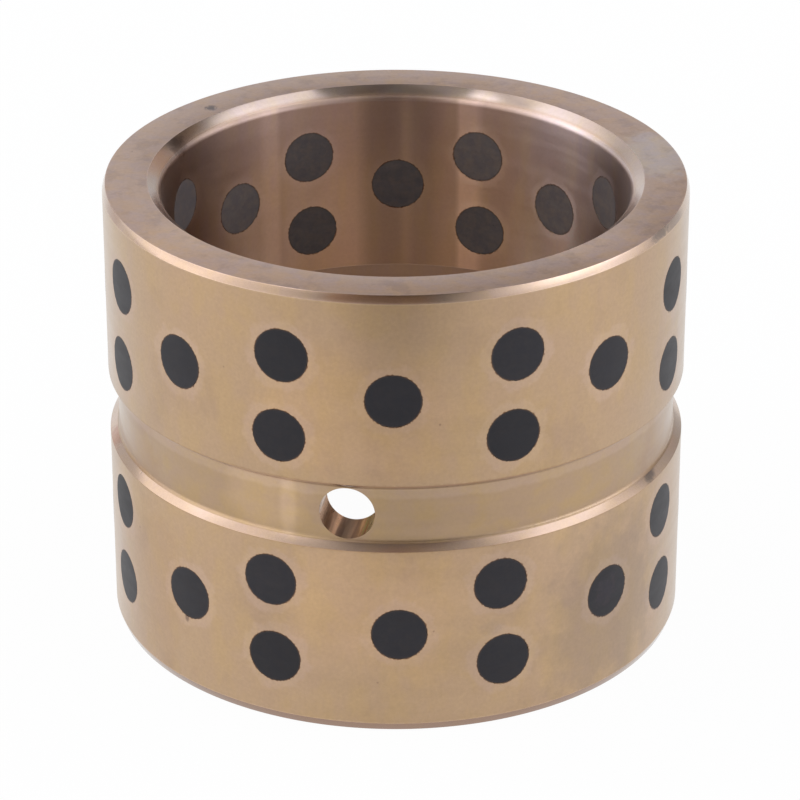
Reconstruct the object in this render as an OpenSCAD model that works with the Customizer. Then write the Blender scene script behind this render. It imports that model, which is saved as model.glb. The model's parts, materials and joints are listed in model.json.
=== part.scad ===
// Graphite plugged bushing: a turned bronze ring with solid graphite plugs through its wall.
// The ring stands on its lower end face: the origin is the centre of that face and +Z is the bore's axis.
// The plugs sit in six rows, three above and three below an oil groove at mid-length.

/* [Ring] */
// Bore diameter, the face that the shaft runs on
bore_d = 80; // [60:1:120]
// Wall between the bore and the outer face, which the housing grips
wall = 10; // [8:0.5:15]
// Length along the axis
ring_length = 80; // [74:1:120]

/* [Ends] */
// Outer end chamfers: depth towards the axis
end_chamfer_depth = 0.5; // [0.2:0.1:1.5]
// Outer end chamfers: length along the axis
end_chamfer_length = 1.4; // [0.5:0.1:3]
// Bore lead-ins: how much wider than the bore the mouth is, on the radius
lead_in_depth = 2.3; // [1:0.1:3]
// Bore lead-ins: length of the cone along the axis
lead_in_length = 1.8; // [1:0.1:3]
// Radius that blends each lead-in into the bore
lead_in_blend_r = 1.6; // [0.5:0.1:2]

/* [Outer oil groove] */
// Width of the floor between the feet of its sloping sides
groove_width = 9.7; // [6:0.1:11]
// Depth below the outer face
groove_depth = 1.6; // [1:0.1:2.5]
// Length of each sloping side along the axis
groove_side_length = 1.2; // [0.8:0.1:1.8]
// Radius that blends the floor into the sides
groove_corner_r = 0.9; // [0.2:0.1:1.2]

/* [Bore oil groove] */
// Width along the axis
bore_groove_width = 11; // [6:0.1:14]
// Depth into the wall
bore_groove_depth = 1.5; // [0.5:0.1:2.5]
// Radius in the corners of the floor
bore_groove_corner_r = 0.8; // [0.2:0.1:1]

/* [Oil hole] */
// Diameter of the hole that joins the two grooves
oil_hole_d = 9.3; // [4:0.1:10]
// Angle of the hole from the front, positive towards +X
oil_hole_turn = -9.6; // [-20:0.1:20]

/* [Graphite plugs] */
// Diameter of a plug
plug_d = 9.3; // [6:0.1:10]
// Gap between a plug and its hole, on the radius
plug_clearance = 0.02; // [0.01:0.01:0.05]
// Number of plugs in each row
plugs_per_row = 8; // [4:1:9]
// End face to the centres of the outer row
end_to_outer_row = 12; // [9:0.1:13]
// Outer row to the centres of the middle row, which stands between its neighbours' plugs
outer_to_middle_row = 6.5; // [5:0.1:9]
// Edge of the outer groove to the centres of the inner row
groove_to_inner_row = 7.5; // [6:0.1:9]
// Turn of the three upper rows about the axis, from the end inwards
upper_row_turns = [0.7, -0.5, 0]; // [-5:0.1:5]
// Turn of the three lower rows about the axis, from the end inwards
lower_row_turns = [-1.5, 0.6, -2.2]; // [-5:0.1:5]

/* [Hidden] */
$fn = 128;
// How far a cutting tool runs past the face that it cuts
over = 1;
// The blending circles go this much deeper, so that they cross the floor and the sides cleanly at any size
let_in = 0.001;

bore_r = bore_d / 2;
outer_r = bore_r + wall;
middle_z = ring_length / 2;
front_angle = -90;

groove_half_width = groove_width / 2;
groove_edge = groove_half_width + groove_side_length;
groove_floor_r = outer_r - groove_depth;
bore_groove_floor_r = bore_r + bore_groove_depth;

// Rows on one side of the middle, from the end inwards: distance from the middle of the length
outer_row = middle_z - end_to_outer_row;
middle_row = outer_row - outer_to_middle_row;
inner_row = groove_edge + groove_to_inner_row;
row_distances = [outer_row, middle_row, inner_row];
row_names = ["outer", "middle", "inner"];
// How far each row is past the middle row, as a share of the pitch
row_staggers = [0.5, 0, 0.5];

sides = [0, 1];
side_names = ["upper", "lower"];
side_signs = [1, -1];
side_turns = [upper_row_turns, lower_row_turns];
rows = [0, 1, 2];
plug_numbers = [1 : plugs_per_row];
plug_pitch = 360 / plugs_per_row;

function plug_name(side, row, number) =
    str("graphite_plug_", side_names[side], "_", row_names[row], "_", number);

// Plug 1 of each row is the first one from the front, and they count round towards +X
function plug_angle(side, row, number) =
    front_angle + (number - 1 + row_staggers[row]) * plug_pitch + side_turns[side][row];

function plug_z(side, row) = middle_z + side_signs[side] * row_distances[row];

plug_nodes = [
    for (side = sides, row = rows, number = plug_numbers) plug_name(side, row, number)
];

// A round rod that points out from the axis at one height and angle
module radial_rod(angle, z, d, from_r, to_r) {
    translate([0, 0, z])
    rotate([0, 0, angle])
    translate([from_r, 0, 0])
    rotate([0, 90, 0])
    cylinder(d = d, h = to_r - from_r);
}

// Half section of what the lathe takes off the outside of a plain tube at its lower end
module end_chamfer_cut() {
    polygon([
        [outer_r - end_chamfer_depth, 0],
        [outer_r, end_chamfer_length],
        [outer_r + over, end_chamfer_length],
        [outer_r + over, -over],
        [outer_r - end_chamfer_depth, -over]
    ]);
}

// The same for its bore: a cone whose end runs into the bore round a blending circle
module lead_in_cut() {
    cone_angle = atan2(lead_in_depth, lead_in_length);
    tangent = lead_in_blend_r * tan(cone_angle / 2);
    centre = [bore_r + lead_in_blend_r, lead_in_length + tangent];
    difference() {
        polygon([
            [bore_r + lead_in_depth, 0],
            [bore_r + tangent * sin(cone_angle), lead_in_length - tangent * cos(cone_angle)],
            centre,
            [bore_r, centre[1]],
            [bore_r - over, centre[1]],
            [bore_r - over, -over],
            [bore_r + lead_in_depth, -over]
        ]);
        translate(centre)
        circle(r = lead_in_blend_r);
    }
}

// Half section of the outer groove: a floor between two sloping sides, blended at their feet
module outer_groove_cut() {
    side_angle = atan2(groove_depth, groove_side_length);
    tangent = groove_corner_r * tan(side_angle / 2);
    floor_end = groove_half_width - tangent;
    side_foot = [tangent * sin(side_angle), groove_half_width + tangent * cos(side_angle)];
    translate([groove_floor_r, middle_z]) {
        polygon([
            [0, floor_end],
            side_foot,
            [groove_depth, groove_edge],
            [groove_depth + over, groove_edge],
            [groove_depth + over, -groove_edge],
            [groove_depth, -groove_edge],
            [side_foot[0], -side_foot[1]],
            [0, -floor_end]
        ]);
        for (end = [-1, 1])
            translate([groove_corner_r, end * floor_end])
            circle(r = groove_corner_r + let_in);
    }
}

// The bore groove has straight sides and round floor corners
module bore_groove_cut() {
    half_width = bore_groove_width / 2;
    floor_end = half_width - bore_groove_corner_r;
    translate([bore_groove_floor_r, middle_z])
    mirror([1, 0]) {
        translate([bore_groove_corner_r, -half_width])
        square([bore_groove_depth + over - bore_groove_corner_r, 2 * half_width]);
        translate([0, -floor_end])
        square([bore_groove_corner_r, 2 * floor_end]);
        for (end = [-1, 1])
            translate([bore_groove_corner_r, end * floor_end])
            circle(r = bore_groove_corner_r);
    }
}

module end_cuts() {
    end_chamfer_cut();
    lead_in_cut();
}

module ring_section() {
    difference() {
        translate([bore_r, 0])
        square([outer_r - bore_r, ring_length]);
        end_cuts();
        translate([0, ring_length])
        mirror([0, 1])
        end_cuts();
        outer_groove_cut();
        bore_groove_cut();
    }
}

module plug_hole(side, row, number) {
    radial_rod(
        plug_angle(side, row, number), plug_z(side, row), plug_d + 2 * plug_clearance,
        bore_r / 2, outer_r + over
    );
}

module oil_hole() {
    radial_rod(front_angle + oil_hole_turn, middle_z, oil_hole_d, bore_r / 2, outer_r + over);
}

module bronze_ring() {
    color([0.72, 0.60, 0.46])
    difference() {
        rotate_extrude()
        ring_section();
        oil_hole();
        for (side = sides, row = rows, number = plug_numbers)
            plug_hole(side, row, number);
    }
}

// A plug is turned with the ring after it is set, so its ends take the curve of both faces
module graphite_plug(side, row, number) {
    color([0.21, 0.20, 0.21])
    intersection() {
        radial_rod(
            plug_angle(side, row, number), plug_z(side, row), plug_d, bore_r / 2, outer_r + over
        );
        difference() {
            cylinder(r = outer_r, h = ring_length);
            translate([0, 0, -over])
            cylinder(r = bore_r, h = ring_length + 2 * over);
        }
    }
}

bronze_ring();
for (side = sides, row = rows, number = plug_numbers)
    graphite_plug(side, row, number);
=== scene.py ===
"""Graphite plugged bushing: a turned bronze ring with graphite plugs, two oil grooves and an oil hole."""
import json
import math

import bpy
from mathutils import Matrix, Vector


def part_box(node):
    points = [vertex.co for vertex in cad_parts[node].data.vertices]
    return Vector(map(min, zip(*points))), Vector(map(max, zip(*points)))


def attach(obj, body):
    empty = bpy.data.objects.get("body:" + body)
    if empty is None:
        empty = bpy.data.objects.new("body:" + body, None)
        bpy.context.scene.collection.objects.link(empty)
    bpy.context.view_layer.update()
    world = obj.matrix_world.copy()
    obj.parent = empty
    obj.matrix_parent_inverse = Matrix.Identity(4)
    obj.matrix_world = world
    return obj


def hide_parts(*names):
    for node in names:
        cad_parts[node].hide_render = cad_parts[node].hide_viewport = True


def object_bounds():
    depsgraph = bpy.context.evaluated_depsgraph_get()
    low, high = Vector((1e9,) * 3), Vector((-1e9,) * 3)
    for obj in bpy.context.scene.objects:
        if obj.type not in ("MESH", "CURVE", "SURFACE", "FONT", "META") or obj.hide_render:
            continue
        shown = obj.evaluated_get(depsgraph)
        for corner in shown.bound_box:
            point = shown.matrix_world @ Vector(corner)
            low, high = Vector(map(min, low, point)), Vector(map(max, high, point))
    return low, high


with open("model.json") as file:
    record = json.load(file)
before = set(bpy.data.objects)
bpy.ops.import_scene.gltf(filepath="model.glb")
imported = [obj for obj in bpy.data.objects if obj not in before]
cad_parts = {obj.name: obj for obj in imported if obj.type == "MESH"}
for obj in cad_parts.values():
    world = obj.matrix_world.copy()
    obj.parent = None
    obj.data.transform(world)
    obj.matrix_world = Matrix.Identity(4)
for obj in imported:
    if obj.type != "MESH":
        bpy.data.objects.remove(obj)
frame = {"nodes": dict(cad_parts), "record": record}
bpy.context.scene.view_settings.view_transform = "Standard"
cad_low, cad_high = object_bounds()

MM = 0.001
MICRON = 0.000001
BODY = "root"

# ---------------------------------------------------------------- camera

CAMERA_PLACE = (0, -0.5944, 0.3286)
CAMERA_PITCH_DOWN = math.radians(26.1095)
CAMERA_YAW = math.radians(0.0673)
CAMERA_LENS = 169.95


def add_camera():
    lens = bpy.data.cameras.new("Camera")
    lens.lens = CAMERA_LENS
    lens.sensor_width = 36
    lens.clip_start, lens.clip_end = 0.01, 20
    camera = bpy.data.objects.new("Camera", lens)
    camera.location = CAMERA_PLACE
    camera.rotation_euler = (math.pi / 2 - CAMERA_PITCH_DOWN, 0, -CAMERA_YAW)
    bpy.context.collection.objects.link(camera)
    bpy.context.scene.camera = camera


# ---------------------------------------------------------------- sizes, in metres

mounts = {mount["name"]: mount for mount in frame["record"]["mounts"]}
OUTER_RADIUS = cad_high.x
BORE_RADIUS = mounts["bore"]["dims"]["r_mm"] * MM
RING_LENGTH = cad_high.z
OIL_HOLE_RADIUS = mounts["oil_hole"]["dims"]["r_mm"] * MM
OIL_HOLE_ANGLE = math.atan2(mounts["oil_hole"]["axis"][1], mounts["oil_hole"]["axis"][0])

END_CHAMFER_DEPTH = 0.5 * MM
END_CHAMFER_LENGTH = 1.4 * MM
LEAD_IN_DEPTH = 2.3 * MM
LEAD_IN_LENGTH = 1.8 * MM
LEAD_IN_BLEND = 1.6 * MM
GROOVE_WIDTH = 9.7 * MM
GROOVE_DEPTH = 1.6 * MM
GROOVE_SIDE_LENGTH = 1.2 * MM
GROOVE_CORNER = 0.9 * MM
BORE_GROOVE_WIDTH = 11.0 * MM
BORE_GROOVE_DEPTH = 1.5 * MM
BORE_GROOVE_CORNER = 0.8 * MM
EDGE_BREAK = 0.07 * MM
PLUG_CLEARANCE = 0.02 * MM
SMEAR_THICKNESS = 0.012 * MM
RAGGED_RIM = 0.75 * MM
PLUGS_PER_ROW = 8
ROWS = [f"{side}_{place}" for side in ("upper", "lower") for place in ("outer", "middle", "inner")]


def plug_nodes(row):
    return [f"graphite_plug_{row}_{number}" for number in range(1, PLUGS_PER_ROW + 1)]


def plug_height(node):
    low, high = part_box(node)
    return (low[2] + high[2]) / 2


def plug_radius(node):
    low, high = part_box(node)
    return (high[2] - low[2]) / 2


def plug_angle(node):
    """The plug's angle round the bore: its mesh lies evenly on both sides of its axis."""
    points = [vertex.co for vertex in frame["nodes"][node].data.vertices]
    low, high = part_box(node)
    angle = math.atan2(low[1] + high[1], low[0] + high[0])
    for _ in range(4):
        across = [p.y * math.cos(angle) - p.x * math.sin(angle) for p in points]
        angle += (min(across) + max(across)) / (BORE_RADIUS + OUTER_RADIUS)
    return angle


ROW_HEIGHT = {row: plug_height(plug_nodes(row)[0]) for row in ROWS}
ROW_ANGLE = {row: plug_angle(plug_nodes(row)[0]) for row in ROWS}
PLUG_RADIUS = plug_radius(plug_nodes(ROWS[0])[0])

# How far some lines on the ring are from its middle height, and from its axis
GROOVE_EDGE = GROOVE_WIDTH / 2 + GROOVE_SIDE_LENGTH
CHAMFER_EDGE = RING_LENGTH / 2 - END_CHAMFER_LENGTH
END_FACE = RING_LENGTH / 2
FACE_OUTER_EDGE = OUTER_RADIUS - END_CHAMFER_DEPTH
FACE_INNER_EDGE = BORE_RADIUS + LEAD_IN_DEPTH

RING_SIZES = {
    "Outer radius": OUTER_RADIUS, "Bore radius": BORE_RADIUS, "Length": RING_LENGTH,
    "End chamfer depth": END_CHAMFER_DEPTH, "End chamfer length": END_CHAMFER_LENGTH,
    "Lead-in depth": LEAD_IN_DEPTH, "Lead-in length": LEAD_IN_LENGTH, "Lead-in blend": LEAD_IN_BLEND,
    "Groove width": GROOVE_WIDTH, "Groove depth": GROOVE_DEPTH, "Groove corner": GROOVE_CORNER,
    "Groove side length": GROOVE_SIDE_LENGTH, "Bore groove width": BORE_GROOVE_WIDTH,
    "Bore groove depth": BORE_GROOVE_DEPTH, "Bore groove corner": BORE_GROOVE_CORNER,
    "Edge break": EDGE_BREAK, "Segments": 360, "Oil hole radius": OIL_HOLE_RADIUS,
    "Oil hole angle": OIL_HOLE_ANGLE, "Plug hole radius": PLUG_RADIUS + PLUG_CLEARANCE,
    "Plugs in a row": PLUGS_PER_ROW, "Hole sides": 72,
}
for row in ROWS:
    RING_SIZES[f"Height of {row}"] = ROW_HEIGHT[row]
    RING_SIZES[f"Angle of {row}"] = ROW_ANGLE[row]


def plug_row_sizes(row):
    return {
        "Plugs": PLUGS_PER_ROW, "Plug radius": PLUG_RADIUS, "Height": ROW_HEIGHT[row],
        "First angle": ROW_ANGLE[row], "Bore radius": BORE_RADIUS, "Outer radius": OUTER_RADIUS,
        "Smear thickness": SMEAR_THICKNESS, "Ragged rim": RAGGED_RIM, "Seed": float(ROWS.index(row) + 1),
    }


# ---------------------------------------------------------------- node trees

SEED_STEP = 17.3


class Bench:
    """Adds nodes to one tree. A node's input takes a plain value or another node's output."""

    def __init__(self, tree):
        self.tree = tree

    def add(self, kind, values=None, **settings):
        node = self.tree.nodes.new(kind)
        for name, value in settings.items():
            setattr(node, name, value)
        for key, value in (values or {}).items():
            self.put(node.inputs[key], value)
        return node

    def put(self, socket, value):
        for one in value if isinstance(value, list) else [value]:
            if isinstance(one, bpy.types.NodeSocket):
                self.tree.links.new(one, socket)
            else:
                socket.default_value = one

    def math(self, operation, *values):
        return self.add("ShaderNodeMath", dict(enumerate(values)), operation=operation).outputs[0]

    def sum(self, *values):
        total = values[0]
        for value in values[1:]:
            total = self.math("ADD", total, value)
        return total

    def less(self, a, b):
        return self.math("SUBTRACT", a, b)

    def times(self, a, b):
        return self.math("MULTIPLY", a, b)

    def over(self, a, b):
        return self.math("DIVIDE", a, b)

    def slope(self, a, b):
        """How long the slope is between two sides at right angles."""
        return self.math("SQRT", self.sum(self.times(a, a), self.times(b, b)))

    def vector(self, x=0.0, y=0.0, z=0.0):
        return self.add("ShaderNodeCombineXYZ", {"X": x, "Y": y, "Z": z}).outputs[0]

    def split(self, vector):
        return self.add("ShaderNodeSeparateXYZ", {0: vector}).outputs

    def remap(self, value, low, high, new_low=0.0, new_high=1.0, kind="SMOOTHSTEP"):
        limits = {0: value, 1: low, 2: high, 3: new_low, 4: new_high}
        return self.add("ShaderNodeMapRange", limits, interpolation_type=kind).outputs[0]

    def fade(self, value, start, end):
        """A share that is 1 up to the start, falls softly, and is 0 past the end."""
        return self.remap(value, start, end, 1.0, 0.0)

    def blend(self, share, first, second, kind="MIX"):
        """Mixes two colours by a share from 0 to 1."""
        mix = self.add("ShaderNodeMix", data_type="RGBA", blend_type=kind)
        for position, value in zip((0, 6, 7), (share, first, second)):
            self.put(mix.inputs[position], value)
        return mix.outputs[2]

    def vector_math(self, operation, a, b):
        return self.add("ShaderNodeVectorMath", {0: a, 1: b}, operation=operation).outputs[0]

    def scaled(self, vector, by):
        return self.vector_math("MULTIPLY", vector, by)

    def dense(self, vector, per_metre):
        """The vector scaled so that a pattern has so many clouds or cells to a metre."""
        return self.scaled(vector, (per_metre, per_metre, per_metre))

    def grained(self, vector, size):
        """The vector scaled so that a pattern's clouds are about as big as another node says."""
        steps = self.over(1.0, size)
        return self.scaled(vector, self.vector(steps, steps, steps))

    def moved(self, vector, seed):
        """The vector moved far enough by a seed to reach another part of a random pattern."""
        step = self.times(seed, SEED_STEP)
        return self.vector_math("ADD", vector, self.vector(step, step, step))

    def clouds(self, vector, seed, detail=2.0, roughness=0.5, flat=False):
        """Soft random values about 0.5, one cloud to each unit of the vector."""
        return self.add(
            "ShaderNodeTexNoise",
            {"Vector": self.moved(vector, seed), "Scale": 1.0, "Detail": detail, "Roughness": roughness},
            noise_dimensions="2D" if flat else "3D",
        ).outputs[0]

    # The rest work in a shape's tree only

    def both(self, first, second):
        return self.add("FunctionNodeBooleanMath", {0: first, 1: second}, operation="AND").outputs[0]

    def compared(self, a, b, operation):
        settings = {"data_type": "FLOAT", "operation": operation}
        return self.add("FunctionNodeCompare", {0: a, 1: b}, **settings).outputs[0]

    def above(self, a, b):
        return self.compared(a, b, "GREATER_THAN")

    def below(self, a, b):
        return self.compared(a, b, "LESS_THAN")

    def either(self, condition, if_so, if_not, kind):
        choices = {"Switch": condition, "False": if_not, "True": if_so}
        return self.add("GeometryNodeSwitch", choices, input_type=kind).outputs[0]

    def read(self, name, kind):
        """What a named attribute holds."""
        return self.add("GeometryNodeInputNamedAttribute", {"Name": name}, data_type=kind).outputs[0]

    def keep(self, shape, name, value, kind, where):
        """The shape with a value kept in a named attribute at each point or face."""
        return self.add(
            "GeometryNodeStoreNamedAttribute", {"Geometry": shape, "Name": name, "Value": value},
            data_type=kind, domain=where,
        ).outputs[0]


SOCKETS = {
    "value": "NodeSocketFloat", "count": "NodeSocketInt", "shape": "NodeSocketGeometry",
    "colour": "NodeSocketColor", "vector": "NodeSocketVector",
}
DEFAULT_KINDS = {float: "value", int: "count"}
TUPLE_KINDS = {3: "vector", 4: "colour"}


def new_tree(name, kind, takes, gives):
    """A node group. Each input has a name and a default or a kind of socket, and each output a kind."""
    tree = bpy.data.node_groups.new(name, kind)
    for label, default in takes.items():
        if isinstance(default, str):
            tree.interface.new_socket(label, in_out="INPUT", socket_type=SOCKETS[default])
            continue
        wanted = TUPLE_KINDS[len(default)] if isinstance(default, tuple) else DEFAULT_KINDS[type(default)]
        socket = tree.interface.new_socket(label, in_out="INPUT", socket_type=SOCKETS[wanted])
        socket.default_value = default
    for label, wanted in gives.items():
        tree.interface.new_socket(label, in_out="OUTPUT", socket_type=SOCKETS[wanted])
    bench = Bench(tree)
    given = bench.add("NodeGroupInput").outputs
    result = bench.add("NodeGroupOutput").inputs
    return bench, given, result


def use(bench, group, values):
    """Places a node group in another tree with its own values."""
    kind = "ShaderNodeGroup" if group.bl_idname == "ShaderNodeTree" else "GeometryNodeGroup"
    node = bench.add(kind, node_tree=group)
    for label, value in values.items():
        bench.put(node.inputs[label], value)
    return node.outputs


# ---------------------------------------------------------------- shapes

def smooth_but_crisp():
    """Shades a turned surface smooth and keeps its edges sharp."""
    bench, given, result = new_tree(
        "Smooth but crisp", "GeometryNodeTree", {"Shape": "shape", "Sharpest bend": 0.24}, {"Shape": "shape"}
    )
    smooth = bench.add("GeometryNodeSetShadeSmooth", {0: given["Shape"], "Shade Smooth": True}, domain="FACE")
    bend = bench.add("GeometryNodeInputMeshEdgeAngle").outputs[0]
    crisp = bench.add(
        "GeometryNodeSetShadeSmooth",
        {0: smooth.outputs[0], "Selection": bench.above(bend, given["Sharpest bend"]), "Shade Smooth": False},
        domain="EDGE",
    )
    bench.put(result["Shape"], crisp.outputs[0])
    return bench.tree


CHIPS_PER_METRE = 1400.0


def rod_row():
    """A row of round rods through the wall, like spokes, whose ends take the curve of two cylinders."""
    bench, given, result = new_tree(
        "Rod row",
        "GeometryNodeTree",
        {
            "Count": 8, "Radius": 0.005, "Height": 0.0, "First angle": 0.0, "Inner radius": 0.04,
            "Outer radius": 0.05, "Sides": 64, "Rings": 1, "Rim share": 0.02, "Ragged": 0.0, "Seed": 0.0,
        },
        {"Rods": "shape"},
    )
    pitch = bench.over(2 * math.pi, given["Count"])
    number = bench.add("GeometryNodeInputIndex").outputs[0]
    seats = bench.add("GeometryNodeMeshLine", {"Count": given["Count"], "Offset": (0, 0, 0)})
    seat_turn = bench.sum(given["First angle"], bench.times(number, pitch))
    turned_seats = bench.keep(seats.outputs[0], "turn", seat_turn, "FLOAT", "POINT")
    rod = bench.add(
        "GeometryNodeMeshCylinder",
        {"Vertices": given["Sides"], "Side Segments": 3, "Fill Segments": given["Rings"],
         "Radius": given["Radius"], "Depth": 2.0},
        fill_type="TRIANGLE_FAN",
    )
    own_place = bench.add("GeometryNodeInputPosition").outputs[0]
    placed_rod = bench.keep(rod.outputs[0], "rod_place", own_place, "FLOAT_VECTOR", "POINT")
    seated = bench.add("GeometryNodeInstanceOnPoints", {"Points": turned_seats, "Instance": placed_rod})
    rods = bench.add("GeometryNodeRealizeInstances", {"Geometry": seated.outputs[0]})
    turn = bench.read("turn", "FLOAT")
    place = bench.split(bench.read("rod_place", "FLOAT_VECTOR"))
    # A rod's points lie in four rings: one at each end, at -1 and 1, and two that are brought close to them.
    # Along is where a ring is between the ends, and share is the same from 0 in the bore to 1 outside.
    end = bench.math("SIGN", place["Z"])
    at_end = bench.above(bench.math("ABSOLUTE", place["Z"]), 0.9)
    near_end = bench.less(1.0, bench.times(2.0, given["Rim share"]))
    along = bench.either(at_end, end, bench.times(end, near_end), "FLOAT")
    share = bench.math("MULTIPLY_ADD", along, 0.5, 0.5)

    cos_turn, sin_turn = bench.math("COSINE", turn), bench.math("SINE", turn)
    rough_spot = bench.vector(
        bench.sum(bench.times(cos_turn, along), place["X"]),
        bench.sum(bench.times(sin_turn, along), place["X"]),
        bench.sum(place["Y"], given["Height"]),
    )
    chips = bench.add(
        "ShaderNodeTexNoise",
        {"Vector": rough_spot, "W": given["Seed"], "Scale": CHIPS_PER_METRE, "Detail": 3.0,
         "Roughness": 0.65},
        noise_dimensions="4D",
    ).outputs[0]
    spread = bench.times(bench.less(chips, 0.5), bench.times(given["Ragged"], at_end))
    scale = bench.sum(1.0, bench.over(spread, given["Radius"]))
    across, upward = bench.times(place["X"], scale), bench.times(place["Y"], scale)

    def curved(radius):
        return bench.math("SQRT", bench.less(bench.times(radius, radius), bench.times(across, across)))

    inner, outer = curved(given["Inner radius"]), curved(given["Outer radius"])
    out = bench.sum(inner, bench.times(share, bench.less(outer, inner)))
    x = bench.less(bench.times(cos_turn, out), bench.times(sin_turn, across))
    y = bench.sum(bench.times(sin_turn, out), bench.times(cos_turn, across))
    z = bench.sum(given["Height"], upward)
    position = bench.vector(x, y, z)
    placed = bench.add("GeometryNodeSetPosition", {"Geometry": rods.outputs[0], "Position": position})
    bench.put(result["Rods"], placed.outputs[0])
    return bench.tree


DRILL_PAST = 1.5 * MM


def ring_tree(rods, crisp, finishes):
    """The ring: half a section turned once round the axis, mirrored to the other end, then drilled."""
    bench, given, result = new_tree(
        "Turned and drilled ring", "GeometryNodeTree", RING_SIZES, {"Ring": "shape"}
    )
    outer, bore, broken = given["Outer radius"], given["Bore radius"], given["Edge break"]
    middle = bench.times(given["Length"], 0.5)
    groove_foot = bench.less(middle, bench.times(given["Groove width"], 0.5))
    groove_edge = bench.less(groove_foot, given["Groove side length"])
    groove_floor = bench.less(outer, given["Groove depth"])
    bore_groove_side = bench.less(middle, bench.times(given["Bore groove width"], 0.5))
    bore_groove_floor = bench.sum(bore, given["Bore groove depth"])
    # Radius, height, corner radius and steps in the corner, from the outer groove round the lower end to the
    # groove in the bore
    stations = [
        (groove_floor, middle, 0.0, 1),
        (groove_floor, groove_foot, given["Groove corner"], 8),
        (outer, groove_edge, broken, 3),
        (outer, given["End chamfer length"], broken, 3),
        (bench.less(outer, given["End chamfer depth"]), 0.0, broken, 3),
        (bench.sum(bore, given["Lead-in depth"]), 0.0, broken, 3),
        (bore, given["Lead-in length"], given["Lead-in blend"], 8),
        (bore, bore_groove_side, broken, 3),
        (bore_groove_floor, bore_groove_side, given["Bore groove corner"], 8),
        (bore_groove_floor, middle, 0.0, 1),
    ]

    def by_station(data_type, values):
        switch = bench.add("GeometryNodeIndexSwitch", data_type=data_type)
        while len(switch.index_switch_items) < len(values):
            switch.index_switch_items.new()
        bench.put(switch.inputs["Index"], bench.add("GeometryNodeInputIndex").outputs[0])
        for position, value in enumerate(values):
            bench.put(switch.inputs[str(position)], value)
        return switch.outputs[0]

    line = bench.add("GeometryNodeMeshLine", {"Count": len(stations), "Offset": (0.001, 0, 0)})
    section = bench.add("GeometryNodeMeshToCurve", {"Mesh": line.outputs[0]})
    places = [
        bench.vector(bench.less(radius, outer), bench.times(height, -1.0))
        for radius, height, _, _ in stations
    ]
    section = bench.add(
        "GeometryNodeSetPosition", {"Geometry": section.outputs[0], "Position": by_station("VECTOR", places)}
    )
    section = bench.add(
        "GeometryNodeFilletCurve",
        {"Curve": section.outputs[0], "Count": by_station("INT", [steps for _, _, _, steps in stations]),
         "Radius": by_station("FLOAT", [corner for _, _, corner, _ in stations]), "Limit Radius": True},
        mode="POLY",
    )
    turn = bench.add("GeometryNodeCurvePrimitiveCircle", {"Resolution": given["Segments"], "Radius": outer})
    turn = bench.add("GeometryNodeSetCurveNormal", {"Curve": turn.outputs[0]}, mode="Z_UP")
    half = bench.add(
        "GeometryNodeCurveToMesh", {"Curve": turn.outputs[0], "Profile Curve": section.outputs[0]}
    )
    rise = bench.vector(0.0, 0.0, given["Length"])
    mirrored = bench.add(
        "GeometryNodeTransform", {"Geometry": half.outputs[0], "Translation": rise, "Scale": (1, 1, -1)}
    )
    other_half = bench.add("GeometryNodeFlipFaces", {"Mesh": mirrored.outputs[0]})
    halves = bench.add("GeometryNodeJoinGeometry", {"Geometry": [half.outputs[0], other_half.outputs[0]]})
    whole = bench.add("GeometryNodeMergeByDistance", {"Geometry": halves.outputs[0], "Distance": MICRON})

    # Each cut has its own finish
    spot = bench.split(bench.add("GeometryNodeInputPosition").outputs[0])
    radius = bench.slope(spot["X"], spot["Y"])
    facing = bench.split(bench.add("GeometryNodeInputNormal").outputs[0])
    wall_middle = bench.times(bench.sum(outer, bore), 0.5)
    outside, inside = bench.above(radius, wall_middle), bench.below(radius, wall_middle)
    off_end = bench.less(middle, bench.math("ABSOLUTE", bench.less(spot["Z"], middle)))
    flat = bench.above(bench.math("ABSOLUTE", facing["Z"]), 0.95)
    on_end = bench.both(flat, bench.below(off_end, 10 * MICRON))
    near_floor = bench.below(radius, bench.sum(groove_floor, bench.times(given["Groove depth"], 0.3)))
    below_outside = bench.below(radius, bench.less(outer, 20 * MICRON))
    # Each cut and where it is, and where two of them hold, the later one counts
    cuts = [
        ("turned", True),
        ("chamfered", bench.both(outside, below_outside)),
        ("grooved", bench.both(outside, near_floor)),
        ("bored", inside),
        ("faced", on_end),
    ]
    cut = 0
    for number, (_, where) in enumerate(cuts):
        cut = bench.either(where, number, cut, "INT")
    marked = bench.keep(whole.outputs[0], "cut", cut, "INT", "FACE")

    drill_start, drill_end = bench.less(bore, DRILL_PAST), bench.sum(outer, DRILL_PAST)

    def drill(count, radius, height, first_angle):
        return use(bench, rods, {
            "Count": count, "Radius": radius, "Height": height, "First angle": first_angle,
            "Inner radius": drill_start, "Outer radius": drill_end, "Sides": given["Hole sides"], "Rings": 1,
        })["Rods"]

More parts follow.
